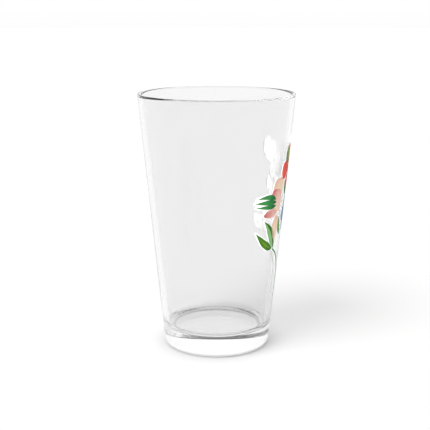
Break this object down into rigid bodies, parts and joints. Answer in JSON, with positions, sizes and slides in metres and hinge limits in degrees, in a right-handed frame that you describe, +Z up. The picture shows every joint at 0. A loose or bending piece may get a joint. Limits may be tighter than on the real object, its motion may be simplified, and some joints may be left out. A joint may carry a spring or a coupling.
{
  "type": "pint glass",
  "caption": "Tapered clear-glass pint tumbler with a thick flat foot, a rounded rim and a printed bouquet of flowers on one side.",
  "frame": {"origin": "centre of the foot, on the surface the glass stands on", "axes": "+Z up along the glass's axis; +X out through the middle of the printed bouquet"},
  "size_m": [0.09, 0.09, 0.148],
  "materials": {
    "clear_glass": "fire-polished, clear soda-lime",
    "white_ink": "satin, cured ink",
    "leaf_green_ink": "satin, cured ink",
    "deep_green_ink": "satin, cured ink",
    "stem_green_ink": "satin, cured ink",
    "red_ink": "satin, cured ink",
    "salmon_ink": "satin, cured ink",
    "pink_ink": "satin, cured ink",
    "cream_ink": "satin, cured ink",
    "blue_ink": "satin, cured ink",
    "yellow_ink": "satin, cured ink"
  },
  "bodies": {
    "root": {"blue_blossom_centre": "yellow_ink", "blue_blossom_petal_1": "blue_ink", "blue_blossom_petal_2": "blue_ink", "blue_blossom_petal_3": "blue_ink", "blue_blossom_petal_4": "blue_ink", "blue_blossom_petal_5": "blue_ink", "blue_blossom_petal_6": "blue_ink", "calyx_finger_low": "deep_green_ink", "calyx_finger_middle": "deep_green_ink", "calyx_finger_top": "leaf_green_ink", "glass_body": "clear_glass", "leaf_beside_keel": "leaf_green_ink", "leaf_centre": "leaf_green_ink", "leaf_low_left": "leaf_green_ink", "leaf_over_red": "leaf_green_ink", "leaf_right_low": "leaf_green_ink", "leaf_right_middle": "deep_green_ink", "leaf_right_top": "leaf_green_ink", "leaf_tall_left": "deep_green_ink", "leaf_under_red": "deep_green_ink", "leaf_under_tulip": "deep_green_ink", "pink_blossom_centre": "yellow_ink", "pink_blossom_petal_1": "pink_ink", "pink_blossom_petal_2": "pink_ink", "pink_blossom_petal_3": "pink_ink", "pink_blossom_petal_4": "pink_ink", "red_blossom_centre": "yellow_ink", "red_blossom_petal_1": "red_ink", "red_blossom_petal_2": "red_ink", "red_blossom_petal_3": "red_ink", "red_blossom_petal_4": "red_ink", "red_blossom_petal_5": "red_ink", "stem_left": "stem_green_ink", "stem_middle": "stem_green_ink", "stem_right": "stem_green_ink", "sweet_pea_bud": "pink_ink", "sweet_pea_keel": "cream_ink", "sweet_pea_standard": "salmon_ink", "sweet_pea_wing": "cream_ink", "tulip_calyx": "leaf_green_ink", "tulip_left": "red_ink", "tulip_middle": "salmon_ink", "tulip_right": "red_ink", "white_ink": "white_ink"}
  },
  "joints": []
}
